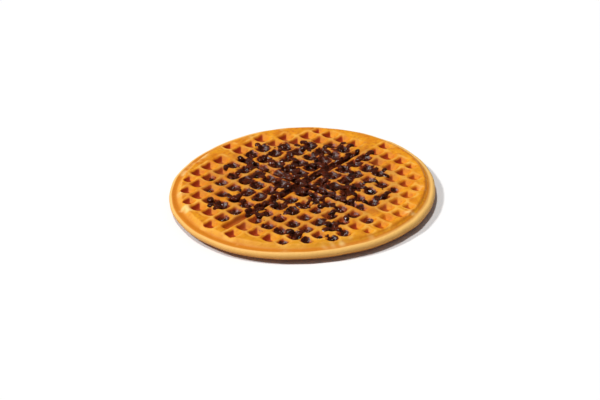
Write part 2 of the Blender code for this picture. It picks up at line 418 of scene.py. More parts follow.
# %% [markdown]
# ## The edge
#
# Batter poured by hand reaches the edge of the iron sooner on one side. The outline is a circle with a
# few slow waves, and the plateau lies a little off its middle, so that the groove is wide on one side
# and nearly filled on the other. Waves are easier to tell from a photo than a list of radii.

# %% The rim's outline, as the hand-filled batter left it
SHOULDER_SOFT = 0.0010
GROOVE_FILL = 0.0016
OUTLINE_POINTS = 60


def edge_stray(angle):
    """How far the edge lies outside the true circle at an angle in radians."""
    return sum(size * np.cos(waves * (angle - math.radians(crest))) for size, waves, crest in EDGE_WAVES)


def outline_middle():
    """The middle of the outline's box, which the origin is moved to."""
    angles = np.arange(OUTLINE_POINTS) * math.tau / OUTLINE_POINTS
    radii = EDGE_RADIUS + edge_stray(angles)
    across, deep = radii * np.cos(angles), radii * np.sin(angles)
    return (across.max() + across.min()) / 2, (deep.max() + deep.min()) / 2


def shoulder_drop(radius, angle):
    """How far the face has dropped at a radius, from the plateau's edge down to the groove."""
    drift = PLATEAU_DRIFT * np.cos(angle - math.radians(PLATEAU_DRIFT_ANGLE))
    plateau, shoulder = PLATEAU_RADIUS + drift, SHOULDER_RADIUS + drift
    first = SHOULDER_DROP * ease((radius - plateau) / (shoulder - plateau))
    fill = GROOVE_FILL * (0.5 + 0.5 * np.cos(angle - math.radians(PLATEAU_DRIFT_ANGLE)))
    foot = GROOVE_RADIUS - shoulder + SHOULDER_SOFT
    second = (GROOVE_DROP - SHOULDER_DROP - fill) * ease((radius - shoulder + SHOULDER_SOFT) / foot)
    return first + second


# %% [markdown]
# ## Pressed and risen
#
# Every point now moves to its place: the face sinks by the pattern and the shoulder, and noise of a few
# tenths of a millimetre stands in for how batter rises, sags between crossings and spreads at the edge.
# A sculpted face would look as uneven, but could not be made again for another size.

# %% Move every point of the round to its place
FACES_APART = 0.05
WANDER_SCALE = 0.016
FACE_SCALE = 0.011
CREST_SCALE = 0.007
BEAD_SCALE = 0.013
SPREAD_SCALE = 0.012
BEAD_UNEVEN = 0.00045
SAG_REACH = 0.8
RIB_REACH = 1.4
PLATEAU_DROP = 0.001
SPREAD_START = 0.074
SPREAD_WIDTH = 0.0086


def read_points(mesh):
    points = np.empty(len(mesh.vertices) * 3)
    mesh.vertices.foreach_get("co", points)
    return points.reshape(-1, 3)


def write_points(mesh, points):
    mesh.vertices.foreach_set("co", points.astype(np.float32).ravel())
    mesh.update()


def press_batter(mesh):
    """Presses the grid, drops the shoulder, and lets the bead and the outline stray."""
    points = read_points(mesh)
    radius = np.hypot(points[:, 0], points[:, 1])
    angle = np.arctan2(points[:, 1], points[:, 0])
    side = np.where(points[:, 2] > MIDDLE, 1.0, -1.0)
    face = radius < GROOVE_RADIUS + SAME_PLACE

    turn = -math.radians(GRID_ANGLE)
    flat = np.column_stack((points[:, 0], points[:, 1], side * FACES_APART))
    along = points[:, 0] * math.cos(turn) - points[:, 1] * math.sin(turn)
    along = along + noise_at(flat, WANDER_SCALE, "along") * GRID_WANDER
    across = points[:, 0] * math.sin(turn) + points[:, 1] * math.cos(turn)
    across = across + noise_at(flat, WANDER_SCALE, "across") * GRID_WANDER
    depth, reach_out, crossing = pocket_press(along, across)
    for start, end, direction in CHANNELS:
        run, aside = (along, across) if direction == "along" else (across, along)
        depth = np.maximum(depth, channel_press(run, aside, start, end))
    depth[~face] = 0.0

    drop = shoulder_drop(radius, angle)
    crest = 1 - depth / POCKET_DEPTH
    lumps = noise_at(flat, FACE_SCALE, "face") * FACE_UNEVEN
    sunk = np.clip(noise_at(flat, CREST_SCALE, "crest"), 0.0, 1.0) * CREST_UNEVEN * crest
    sag = RIB_SAG * (1 - ease(crossing / SAG_REACH)) * (reach_out < RIB_REACH) * crest
    height = THICKNESS - np.maximum(drop, depth) + lumps - (sunk + sag) * (drop < PLATEAU_DROP)
    height = np.where(side < 0, np.minimum(height, THICKNESS), height)
    points[face, 2] = np.where(side > 0, height, THICKNESS - height)[face]
    points[~face, 2] += (noise_at(points[~face], BEAD_SCALE, "bead") * BEAD_UNEVEN / 2
                         * np.sign(points[~face, 2] - MIDDLE) * (points[~face, 2] != MIDDLE))

    outward = ease((radius - SPREAD_START) / SPREAD_WIDTH)
    level = np.column_stack((points[:, 0], points[:, 1], np.zeros(len(points))))
    bead = noise_at(level, SPREAD_SCALE, "spread") * BEAD_UNEVEN
    spread = 1 + (edge_stray(angle) * outward + bead * ~face) / radius.clip(1e-6)
    middle = outline_middle()
    points[:, 0] = points[:, 0] * spread - middle[0]
    points[:, 1] = points[:, 1] * spread - middle[1]
    write_points(mesh, points)
    return points, depth / POCKET_DEPTH, reach_out, side, radius


batter_points, batter_depth, batter_reach, batter_side, batter_radius = press_batter(batter.data)
print("batter, mm:", (1000 * (batter_points.max(0) - batter_points.min(0))).round(1))


# %% [markdown]
# ## Heaps of chips
#
# A chip that has melted in a hot pocket is no longer a drop: it slumps, and lumps of it stand out of
# the pool. One sphere for each heap would look like a bead. Here each heap is a few tilted drops of
# different sizes with a handful of small lumps on them.

# %% Drops and lumps
HEAP_DROPS = (3, 5)
HEAP_SIZE = (0.34, 0.62)
HEAP_WIDTH = (0.60, 1.0)
HEAP_HEIGHT = (0.65, 1.0)
HEAP_SPREAD = 0.33
HEAP_STRAY = 0.5
HEAP_TILT = 0.9
HEAP_DROP = 0.0018
HEAP_SINK = 0.0007
LONE_SIZE = 0.9
LONE_LUMPS = 2
LUMPS = (5, 9)
LUMP_SIZE = (0.0010, 0.0022)
LUMP_FLATNESS = (0.5, 1.0)
LUMP_SPREAD = 0.62
LUMP_FALL = 0.0020
LUMP_STAND = 0.4
NEAREST_LUMP = 0.02


def drop_mesh(subdivisions):
    bm = bmesh.new()
    bmesh.ops.create_icosphere(bm, subdivisions=subdivisions, radius=0.5)
    mesh = bpy.data.meshes.new("drop")
    bm.to_mesh(mesh)
    bm.free()
    return mesh


def add_drop(bm, drop, place, size, turn):
    """Adds a copy of the drop to the bmesh, scaled, turned about X, Y and Z and moved."""
    copy = drop.copy()
    copy.transform(Matrix.LocRotScale(place, Euler(turn), size))
    bm.from_mesh(copy)
    bpy.data.meshes.remove(copy)


def random_turn(rng, tilt):
    """A free turn about Z after a tilt about X and Y."""
    return rng.uniform(-tilt, tilt), rng.uniform(-tilt, tilt), rng.uniform(0.0, math.pi)


def oval(angle, length):
    """A place on the oval outline of a heap of some length."""
    return Vector((math.cos(angle) * length, math.sin(angle) * length * CHIP_WIDTH, 0.0))


def add_chip(bm, drops, rng, place, length, rise, turn):
    """A heap of half-melted chips: a few low drops side by side, and the lumps that stand out of them."""
    low, small = drops
    top = THICKNESS + rise - HEAP_SINK
    spin = Matrix.Rotation(turn, 3, "Z")
    lone = length <= SMALL_LENGTH[1]
    count = 1 if lone else rng.randint(*HEAP_DROPS)
    first = rng.uniform(0.0, math.tau)
    for step in range(count):
        angle = first + math.tau * step / count + rng.uniform(-HEAP_STRAY, HEAP_STRAY)
        wide = length * (LONE_SIZE if lone else rng.uniform(*HEAP_SIZE))
        at = place + spin @ (oval(angle, length) * HEAP_SPREAD * (count > 1))
        size = (wide, wide * rng.uniform(*HEAP_WIDTH), wide * rng.uniform(*HEAP_HEIGHT))
        at.z = top - size[2] / 2 - rng.uniform(0.0, HEAP_DROP)
        add_drop(bm, low, at, size, random_turn(rng, HEAP_TILT))
    for _ in range(LONE_LUMPS if lone else rng.randint(*LUMPS)):
        angle, share = rng.uniform(0.0, math.tau), math.sqrt(rng.uniform(NEAREST_LUMP, 1.0))
        wide = rng.uniform(*LUMP_SIZE)
        at = place + spin @ (oval(angle, length) * share * LUMP_SPREAD)
        at.z = top - wide * LUMP_STAND - share * share * LUMP_FALL - rng.uniform(0.0, HEAP_DROP)
        size = (wide, wide * rng.uniform(*LUMP_FLATNESS), wide * rng.uniform(*LUMP_FLATNESS))
        add_drop(bm, small, at, size, random_turn(rng, HEAP_TILT))


# %% [markdown]
# ## Runs, specks and puddles
#
# Soft chocolate bridges the ribs, small bits of it lie between the heaps, and thin puddles spread where
# most of it melted. They are the same drop, stretched across a rib, tiny, or flat. A painted stain
# would do for the puddles from afar, but would not shine at their edges.

# %% Chocolate over the ribs and between the heaps
RUNS = 2
RUN_CHANCE = (0.85, 0.40)
RUN_LENGTH = (0.0046, 0.0074)
RUN_WIDTH = (0.0034, 0.0058)
RUN_HEIGHT = 0.0028
RUN_RISE = (0.8, 1.4)
RUN_SINK = 0.0008
RUN_REACH = 0.070
RUN_STRAY = 0.5
SPECKS = 190
SPECK_SIZE = (0.0008, 0.0017)
SPECK_FLATNESS = 0.8
PUDDLES = 24
PUDDLE_SIZE = (0.0035, 0.0065)
PUDDLE_FLATNESS = 0.22
PUDDLE_MIDDLE = Vector((0.0, 0.014, 0.0))
PUDDLE_REACH = 0.038
PATCH_RADIUS = 0.056
SCATTERED_WIDTH = (0.6, 1.0)


def add_runs(bm, drop, rng):
    """Chocolate that ran from a pocket over a rib to the next one, more often near the middle."""
    for place, length, _ in chip_list * RUNS:
        from_middle = min((place - PUDDLE_MIDDLE).length / PATCH_RADIUS, 1.0)
        chance = RUN_CHANCE[0] + (RUN_CHANCE[1] - RUN_CHANCE[0]) * from_middle
        quarter = rng.randint(0, 3) * math.pi / 2 + math.radians(GRID_ANGLE)
        size = (rng.uniform(*RUN_LENGTH), rng.uniform(*RUN_WIDTH), RUN_HEIGHT * rng.uniform(*RUN_RISE))
        turn = (0.0, 0.0, quarter + rng.uniform(-RUN_STRAY, RUN_STRAY))
        at = place + Vector((math.cos(quarter), math.sin(quarter), 0.0)) * PITCH / 2
        if rng.random() < chance and length > SMALL_LENGTH[1] and at.length < RUN_REACH:
            at.z = THICKNESS - RUN_SINK
            add_drop(bm, drop, at, size, turn)


def face_height(x, y):
    """The height of the upper face at a place, from its nearest point."""
    upper = batter_points[batter_side > 0]
    return upper[np.argmin((upper[:, 0] - x) ** 2 + (upper[:, 1] - y) ** 2), 2]


def add_scattered(bm, drop, rng, count, middle, reach, sizes, flatness):
    """Small drops strewn over a round of the upper face, half sunk in it."""
    for _ in range(count):
        angle, out = rng.uniform(0.0, math.tau), reach * math.sqrt(rng.random())
        wide = rng.uniform(*sizes)
        x, y = middle.x + out * math.cos(angle), middle.y + out * math.sin(angle)
        size = (wide, wide * rng.uniform(*SCATTERED_WIDTH), wide * flatness)
        add_drop(bm, drop, Vector((x, y, face_height(x, y))), size, (0.0, 0.0, rng.uniform(0.0, math.pi)))


# %% [markdown]
# ## One skin of chocolate
#
# Melted chocolate that touches runs together, so the drops get one skin by a voxel remesh. Noise pushes
# it in and out until no lump stays a ball, and what lies hidden in the batter is cut off, which saves
# triangles. Metaballs would flow too, but their skin has no even size of triangle.

# %% Flow the drops together
CRAG_SCALE = 0.0012
CRAG_HEIGHT = 0.00022
SWELL_SCALE = 0.0030
SWELL_HEIGHT = 0.00070
MELT_VOXEL = 0.00056
CHIP_BOTTOM = MIDDLE + 0.0008


def flow_together(thing):
    """Remeshes touching drops into one skin and keeps the result as the mesh."""
    remesh = thing.modifiers.new("flow together", "REMESH")
    remesh.mode = "VOXEL"
    remesh.voxel_size = MELT_VOXEL
    bpy.context.view_layer.update()
    graph = bpy.context.evaluated_depsgraph_get()
    mesh = bpy.data.meshes.new_from_object(thing.evaluated_get(graph), depsgraph=graph)
    thing.modifiers.clear()
    thing.data = mesh
    mesh.name = thing.name


def roughen(mesh):
    """Pushes the skin in and out along its normals, so that no lump stays a ball."""
    points = read_points(mesh)
    normals = np.empty(len(points) * 3)
    mesh.vertices.foreach_get("normal", normals)
    crags = CRAG_HEIGHT * noise_at(points, CRAG_SCALE, "crags")
    push = crags + SWELL_HEIGHT * noise_at(points, SWELL_SCALE, "swell")
    write_points(mesh, points + normals.reshape(-1, 3) * push[:, None])


def cut_below(mesh, level):
    """Cuts off what lies hidden in the batter below a level, and closes the cut."""
    bm = bmesh.new()
    bm.from_mesh(mesh)
    bmesh.ops.bisect_plane(bm, geom=bm.verts[:] + bm.edges[:] + bm.faces[:], dist=1e-6,
                           plane_co=(0.0, 0.0, level), plane_no=(0.0, 0.0, 1.0), clear_inner=True)
    bmesh.ops.holes_fill(bm, edges=[edge for edge in bm.edges if edge.is_boundary], sides=0)
    bmesh.ops.recalc_face_normals(bm, faces=bm.faces)
    print("open edges of the chips:", sum(not edge.is_manifold for edge in bm.edges))
    bm.to_mesh(mesh)
    bm.free()


def melted_chips():
    rng = random.Random(SEED + 1)
    drops = drop_mesh(3), drop_mesh(2)
    bm = bmesh.new()
    for (place, length, rise), turn in zip(chip_list, chip_turns):
        add_chip(bm, drops, rng, place, length, rise, turn)
    add_runs(bm, drops[1], rng)
    add_scattered(bm, drops[1], rng, SPECKS, Vector(), PATCH_RADIUS, SPECK_SIZE, SPECK_FLATNESS)
    add_scattered(bm, drops[1], rng, PUDDLES, PUDDLE_MIDDLE, PUDDLE_REACH, PUDDLE_SIZE, PUDDLE_FLATNESS)
    chips = object_from_bmesh(bm, "chocolate_chips")
    flow_together(chips)
    roughen(chips.data)
    cut_below(chips.data, CHIP_BOTTOM)
    return chips


chips = melted_chips()
print("chip triangles:", sum(len(face.vertices) - 2 for face in chips.data.polygons))


# %% [markdown]
# ## Where the chocolate has run
#
# Between the chips the batter is stained and coated: thick in the pockets under them, thin and
# reddish over the ribs. A separate film would have to follow every rib, so the coat is a number kept
# on each point of the batter, which its material reads.

# %% How thickly chocolate coats each point
UNDER_REACH = 1.15
UNDER_RAGGED = 0.4
UNDER_FADE = 0.35
UNDER_COAT = 0.9
RAGGED_SCALE = 0.003
POOL_START = 0.08
POOL_FADE = 0.30
POOL_REACH = 1.95
POOL_THIN = 0.62
POOL_UNEVEN = 0.4
POOL_SCALE = 0.008
SMEAR_MIDDLE = 0.9
SMEAR_FADE = 0.7
SMEAR_REACH = 1.05
SMEAR_EDGE = 0.3
SMEAR_COAT = 0.85
SMEAR_SCALE = 0.009
WIPED_DEPTH = 0.12
WIPED_START = 0.35
WIPED_FADE = 0.3
WIPED_SHARE = 0.65
WIPED_SCALE = 0.006


def near_chip(points):
    """How near the closest chip is: 0 at its middle, 1 at its edge."""
    nearest = np.full(len(points), FAR)
    for place, length, _ in chip_list:
        distance = np.hypot(points[:, 0] - place.x, points[:, 1] - place.y) / (length / 2)
        nearest = np.minimum(nearest, distance)
    return nearest


def melt_amount(points, depth, side):
    """How thick the chocolate is: under the chips, pooled in their pockets, smeared in the middle."""
    near = near_chip(points)
    ragged = UNDER_RAGGED * noise_at(points, RAGGED_SCALE, "ragged")
    under = ease((UNDER_REACH - near + ragged) / UNDER_FADE)
    thick = POOL_THIN + POOL_UNEVEN * noise_at(points, POOL_SCALE, "pools")
    pooled = ease((depth - POOL_START) / POOL_FADE) * ease((POOL_REACH - near) / UNDER_FADE) * thick
    from_middle = np.hypot(points[:, 0] - PUDDLE_MIDDLE.x, points[:, 1] - PUDDLE_MIDDLE.y) / PATCH_RADIUS
    patchy = noise_at(points, SMEAR_SCALE, "smear") + SMEAR_MIDDLE * (1 - from_middle)
    smear = ease(patchy / SMEAR_FADE) * ease((SMEAR_REACH - from_middle) / SMEAR_EDGE)
    wiped = ease((noise_at(points, WIPED_SCALE, "wiped") + WIPED_START) / WIPED_FADE)
    bare_crest = 1 - WIPED_SHARE * ease((WIPED_DEPTH - depth) / WIPED_DEPTH) * wiped
    return np.maximum.reduce((under * UNDER_COAT, pooled, smear * SMEAR_COAT * bare_crest)) * (side > 0)


batter_melt = melt_amount(batter_points, batter_depth, batter_side)
print("coated share:", round(float((batter_melt > 0.5).mean()), 3))


# %% [markdown]
# ## How brown and how shaded the pockets are
#
# The iron's studs press the pockets, so these brown first, and painted shade darkens them more the deeper a
# point lies. Walls that face right get painted shade as well, so walls that face left stay golden, and the
# fainter prints, the channels and the pockets at the back are a little paler too. Browning and painted shade
# are kept as one number, since a colour worked out from height alone would be too even.

# %% Scorch and painted shade of each point
SCORCH_AND_SHADE_START = 0.05
SCORCH_AND_SHADE_FADE = 0.46
BLOTCHED_DEPTH = 0.14
BLOTCHED_START = 0.1
BLOTCHED_SCALE = 0.004
RIGHT_START = 0.36
RIGHT_FADE = 0.44
LIT_SHARE = 0.12
SHADE_WARMTH = 0.26
SHADE_START = 0.06
SHADE_FADE = 0.30
FAINT_SCORCH_AND_SHADE = 0.36
FAINT_FADE = 0.06
CHANNEL_SCORCH_AND_SHADE = 0.62
BACK_SCORCH_AND_SHADE = 0.20
BACK_START = 0.020
BACK_FADE = 0.050


def scorch_and_shade_amount(points, depth, radius, right):
    """Browning and painted shade of each point. right is how far its normal points to the right, from -1 to
    1.
    """
    blotches = noise_at(points, BLOTCHED_SCALE, "blotches")
    blotched = depth + BLOTCHED_DEPTH * blotches * (depth > BLOTCHED_START)
    # Painted shade: walls whose normal points right, away from the light on the left, get the full amount,
    # the rest only a small share.
    lit = LIT_SHARE + (1 - LIT_SHARE) * ease((right + RIGHT_START) / RIGHT_FADE)
    faint = math.radians(FAINT_ANGLE)
    out = points[:, 0] * math.cos(faint) + points[:, 1] * math.sin(faint)
    fading = ease((out - FAINT_START) / FAINT_FADE)
    # Browning and painted shade together: darker the deeper a point lies.
    scorch_and_shade = ease((blotched + SCORCH_AND_SHADE_START) / SCORCH_AND_SHADE_FADE) * lit * (1 - FAINT_SCORCH_AND_SHADE * fading)
    grid_places = points @ np.array(grid_turn.to_3x3())
    in_channel = np.abs(grid_places[:, :2]).min(1) < CHANNEL_PITCH / 2
    back = ease((points[:, 1] - BACK_START) / BACK_FADE)
    scorch_and_shade *= np.where(in_channel, CHANNEL_SCORCH_AND_SHADE, 1.0) * (1 - BACK_SCORCH_AND_SHADE * back)
    # Painted shade: a warm tint on the slopes inside the shoulder that face right.
    shade = SHADE_WARMTH * ease((right - SHADE_START) / SHADE_FADE) * (radius < SHOULDER_RADIUS)
    return np.maximum(scorch_and_shade, shade)


normals = np.empty(len(batter_points) * 3)
batter.data.vertices.foreach_get("normal", normals)
batter_scorch_and_shade = scorch_and_shade_amount(batter_points, batter_depth, batter_radius, normals[0::3])
print("browned share:", round(float((batter_scorch_and_shade > 0.5).mean()), 3))


# %% [markdown]
# ## Where the crust is pale or dull, and where light and shade are painted
#
# The crests of the ribs carry a pale line of painted highlight, and a painted pale line of light runs along
# the shoulder, strongest on the left. Flour and steam leave cream scuffs along the shoulder. The groove is
# darker, partly browned and partly painted shade, and the bead, which no iron touches, is cream, with
# painted light taking the cream further in on the right and the back left. Among the chips the ribs are dull
# with cocoa butter. Each of these is one more number on the points.

# %% Crests, scuffs, groove, bead and dulled ribs
UNEVEN_SCALE = 0.006
CREST_EDGE = 0.07
CREST_REACH = 1.30
CREST_FADE = 0.15
CREST_MEAN = 0.5
CREST_VARIETY = 1.4
SCUFF = 0.016
SCUFF_DETAIL = 0.3
SCUFF_START = 0.16
SCUFF_FADE = 0.45
SCUFF_REACH = 0.0060
SCUFF_SOFT = 0.0050
# The pale shoulder line is painted light, with more of it on the left.
PALE_REACH = 0.0022
PALE_SOFT = 0.0012
PALE_MEAN = 0.25
PALE_LEFT = 0.5
PALE_VARIETY = 0.7
PALE_SHARE = 0.8
GROOVE_SOFT = 0.0012
BACK_LEFT = (-0.64, 0.77)
CREAM_RADIUS = 0.0870
# The cream's wider reach on the right and the back left is painted light.
CREAM_LIGHT_RIGHT = 0.0014
CREAM_LIGHT_BACK_LEFT = 0.0016
CREAM_EDGE = 0.0008
DULLED_REACH = 1.30
DULLED_FADE = 0.25
DULLED_MEAN = 0.7
DULLED_VARIETY = 0.9


def crust_shares(points, depth, reach, side, radius):
    """Shares from 0 to 1: painted highlight on crests and shoulder, scuffs, groove partly painted shade,
    bead partly painted light, dulled ribs.
    """
    angle = np.arctan2(points[:, 1], points[:, 0])
    right = np.cos(angle)
    uneven = noise_at(points, UNEVEN_SCALE, "crust")
    broken = np.clip(CREST_MEAN + CREST_VARIETY * uneven, 0.0, 1.0)
    # Painted highlight: a pale line on the rib crests, as if they caught the light.
    crest = ease((CREST_EDGE - depth) / CREST_EDGE) * ease((CREST_REACH - reach) / CREST_FADE) * broken
    shoulder = np.abs(radius - SHOULDER_RADIUS + PLATEAU_DRIFT)
    # Painted light: a pale line along the shoulder, strongest on the left, where the light comes from.
    some = np.clip(PALE_MEAN - PALE_LEFT * right + PALE_VARIETY * uneven, 0.0, 1.0)
    painted_shoulder_light = ease((PALE_REACH - shoulder) / PALE_SOFT) * some
    small_scuffs = SCUFF_DETAIL * noise_at(points, SCUFF / 4, "small scuffs")
    scuffs = noise_at(points, SCUFF, "scuffs") + small_scuffs
    back_left = ease(BACK_LEFT[0] * right + BACK_LEFT[1] * np.sin(angle))
    # Painted light: the cream reaches further in on the right and the back left, where the bead faces the
    # light from the left.
    cream_start = CREAM_RADIUS - CREAM_LIGHT_RIGHT * right - CREAM_LIGHT_BACK_LEFT * back_left
    dulled = np.clip(DULLED_MEAN + DULLED_VARIETY * uneven, 0.0, 1.0) * (side > 0)
    return {
        "crest": np.maximum(crest, painted_shoulder_light * PALE_SHARE),
        "scuff": ease((scuffs - SCUFF_START) / SCUFF_FADE) * ease((SCUFF_REACH - shoulder) / SCUFF_SOFT),
        # The groove is darker: partly browning, partly painted shade in the recess.
        "groove_brown_and_shade": ease((radius - SHOULDER_RADIUS - PLATEAU_DRIFT * right) / GROOVE_SOFT),
        "cream_and_light": ease((radius - cream_start) / CREAM_EDGE),
        "dulled": ease((DULLED_REACH - radius / PATCH_RADIUS) / DULLED_FADE) * dulled,
    }


kept = {"scorch_and_shade": batter_scorch_and_shade, "melt": batter_melt}
kept.update(crust_shares(batter_points, batter_depth, batter_reach, batter_side, batter_radius))
for name, values in kept.items():
    attribute = batter.data.attributes.new(name, "FLOAT", "POINT")
    attribute.data.foreach_set("value", values.astype(np.float32))
print("kept on the points:", list(kept))


# %% [markdown]
# ## Materials
#
# Colours are written as the eye reads them, in sRGB hex, and turned to the linear values that light
# adds up in. One function adds a node with its settings and its links.

# %% Colour and node helpers
MIX_FACTOR, MIX_FIRST, MIX_SECOND, MIX_RESULT = 0, 6, 7, 2


def linear(hex_colour):
    """An sRGB hex colour as linear red, green, blue and an alpha of 1."""
    shares = [int(hex_colour[start:start + 2], 16) / 255 for start in (1, 3, 5)]
    return [share / 12.92 if share <= 0.04045 else ((share + 0.055) / 1.055) ** 2.4
            for share in shares] + [1.0]


def add(tree, kind, inputs, **settings):
    """A new node. inputs maps a socket's name or number to a value or to another node's output."""
    node = tree.nodes.new(kind)
    for name, value in settings.items():
        setattr(node, name, value)
    for name, value in inputs.items():
        if isinstance(value, bpy.types.NodeSocket):
            tree.links.new(value, node.inputs[name])
        else:
            node.inputs[name].default_value = value
    return node


def new_material(name):
    material = bpy.data.materials.new(name)
    material.use_nodes = True
    return material, material.node_tree, material.node_tree.nodes["Principled BSDF"]


# %% [markdown]
# ## Baked batter
#
# Batter is egg, flour and milk, browned against hot iron. Its skin is dull, with pores of about a
# millimetre. The colour is a stack of layers, each laid over the last where one of the kept numbers or
# a noise runs from its start to its end, so every layer can be tuned alone.

# %% Baked batter
# Baked batter: egg and milk browned against hot iron. The crests stay golden, with a painted highlight,
# the pockets, where the iron's studs press, brown towards red and carry painted shade, and the bead that
# the iron never touched stays pale, with a painted highlight on its top and painted shade down its side.
BATTER_IOR = 1.35
BATTER_SHINE = 0.3
BATTER_ROUGHNESS = 0.55
COATED_ROUGHNESS = 0.25
# The crest cream is a painted highlight on the rib crests and the lit shoulder.
CREST_HIGHLIGHT_CREAM = "#F6BA54"
SCUFF_CREAM = "#FBD88E"
CREST_GOLD = "#E89A1A"
PLATEAU_ORANGE = "#DB8212"
TOAST = "#C8661A"
# The wall orange and the pocket rust colour the pockets' browning together with painted shade.
WALL_ORANGE = "#D9780E"
POCKET_RUST = "#982F05"
BEAD_CREAM = "#F4C06C"
# The groove brown is browning and painted shade in the groove.
GROOVE_BROWN_AND_SHADE = "#CE781A"
FRONT_YELLOW = "#DA981E"
# Side gold and under brown are painted shade down the bead's side and under it.
SIDE_SHADE_GOLD = "#CC8C3E"
UNDER_SHADE_BROWN = "#9A5418"
DULLED_GOLD = "#A86428"
STAIN_BROWN = "#9A3C10"
CHOCOLATE_THIN = "#5A2009"
CHOCOLATE_THICK = "#240B03"
BLOTCH = 0.009
FRECKLE = 0.0026
GRAIN = 0.0010
PORE_DEPTH = 0.0006
GRAIN_DEPTH = 0.0003
RAGGEDNESS = 0.8
FRONT_START = -0.050
FRONT_END = -0.086
# Painted highlight and shade on the bead: cream stays only along its top, it is gold down its side and brown
# under it.
SIDE_START = MIDDLE + 0.0024
SIDE_END = MIDDLE - 0.0010
UNDER_START = MIDDLE - 0.0006
UNDER_END = MIDDLE - 0.0028


def baked_batter():
    material, tree, shader = new_material("baked_batter")
    place = add(tree, "ShaderNodeTexCoord", {}).outputs["Object"]
    value = {name: add(tree, "ShaderNodeAttribute", {}, attribute_name=name).outputs["Fac"] for name in kept}
    axes = add(tree, "ShaderNodeSeparateXYZ", {"Vector": place})
    value["height"], value["nearness"] = axes.outputs["Z"], axes.outputs["Y"]
    for name, scale in (("blotch", BLOTCH), ("freckle", FRECKLE), ("grain", GRAIN)):
        value[name] = add(tree, "ShaderNodeTexNoise", {"Vector": place, "Scale": 1 / scale,
                                                       "Detail": 3.0}).outputs["Fac"]
    ragged = add(tree, "ShaderNodeMath", {0: value["grain"], 1: -0.5}, operation="ADD").outputs[0]
    value["coat"] = add(tree, "ShaderNodeMath", {0: ragged, 1: RAGGEDNESS, 2: value["melt"]},
                        operation="MULTIPLY_ADD").outputs[0]

    # Each layer: the value it follows, where it starts, where it is full, its most and its colour.
    layers = (("blotch", 0.38, 0.64, 1.0, PLATEAU_ORANGE), ("freckle", 0.50, 0.70, 0.7, TOAST),
              ("nearness", FRONT_START, FRONT_END, 0.6, FRONT_YELLOW),
              # Browning and painted shade in the groove.
              ("groove_brown_and_shade", 0.0, 1.0, 0.85, GROOVE_BROWN_AND_SHADE),
              # Painted highlight on the crests and the shoulder, then the scuffs.
              ("crest", 0.0, 1.0, 0.65, CREST_HIGHLIGHT_CREAM), ("scuff", 0.0, 1.0, 0.8, SCUFF_CREAM),
              # Browning and painted shade in the pockets.
              ("scorch_and_shade", 0.08, 0.40, 1.0, WALL_ORANGE), ("scorch_and_shade", 0.30, 0.75, 1.0, POCKET_RUST),
              # The bead's own cream, taken further in by painted light where it faces the light.
              ("cream_and_light", 0.0, 1.0, 1.0, BEAD_CREAM),
              # Painted highlight on the bead's top and painted shade down its side and under it.
              ("height", SIDE_START, SIDE_END, 1.0, SIDE_SHADE_GOLD),
              ("height", UNDER_START, UNDER_END, 1.0, UNDER_SHADE_BROWN),
              ("dulled", 0.0, 1.0, 0.45, DULLED_GOLD),
              ("coat", 0.25, 0.55, 1.0, STAIN_BROWN), ("coat", 0.50, 0.72, 1.0, CHOCOLATE_THIN),
              ("coat", 0.72, 1.0, 1.0, CHOCOLATE_THICK))
    colour = linear(CREST_GOLD)
    for name, start, end, most, layer_colour in layers:
        share = add(tree, "ShaderNodeMapRange", {"Value": value[name], "From Min": start, "From Max": end,
                                                 "To Max": most}).outputs[0]
        colour = add(tree, "ShaderNodeMix", {MIX_FACTOR: share, MIX_FIRST: colour,
                                             MIX_SECOND: linear(layer_colour)},
                     data_type="RGBA").outputs[MIX_RESULT]
    gloss = add(tree, "ShaderNodeMapRange", {"Value": value["coat"], "From Min": 0.3, "From Max": 0.6,
                                             "To Min": BATTER_ROUGHNESS,
                                             "To Max": COATED_ROUGHNESS}).outputs[0]
    coarse = add(tree, "ShaderNodeBump", {"Height": value["freckle"], "Strength": 0.5,
                                          "Distance": PORE_DEPTH}).outputs["Normal"]
    fine = add(tree, "ShaderNodeBump", {"Height": value["grain"], "Strength": 0.5, "Distance": GRAIN_DEPTH,
                                        "Normal": coarse}).outputs["Normal"]
    tree.links.new(colour, shader.inputs["Base Color"])
    tree.links.new(gloss, shader.inputs["Roughness"])
    tree.links.new(fine, shader.inputs["Normal"])
    shader.inputs["IOR"].default_value = BATTER_IOR
    shader.inputs["Specular IOR Level"].default_value = BATTER_SHINE
    return material


# %% [markdown]
# ## Melted chocolate
#
# Dark chocolate that melted and set again is smooth, nearly black where it is thick and red brown where
# it is thin. A clear coat over a matt base would shine too widely, so one smooth surface with a low
# specular level gives the small bright lights on it.

# %% Melted chocolate
# Dark chocolate: cocoa butter that has melted and set again, so it is smooth and shines where it is
# thick, and reads nearly black with a red brown at its thin edges.
CHOCOLATE_IOR = 1.45
CHOCOLATE_SHINE = 0.25
CHOCOLATE_ROUGHNESS = 0.12
CLOUD = 0.004
RIPPLE = 0.0012
RIPPLE_DEPTH = 0.0002


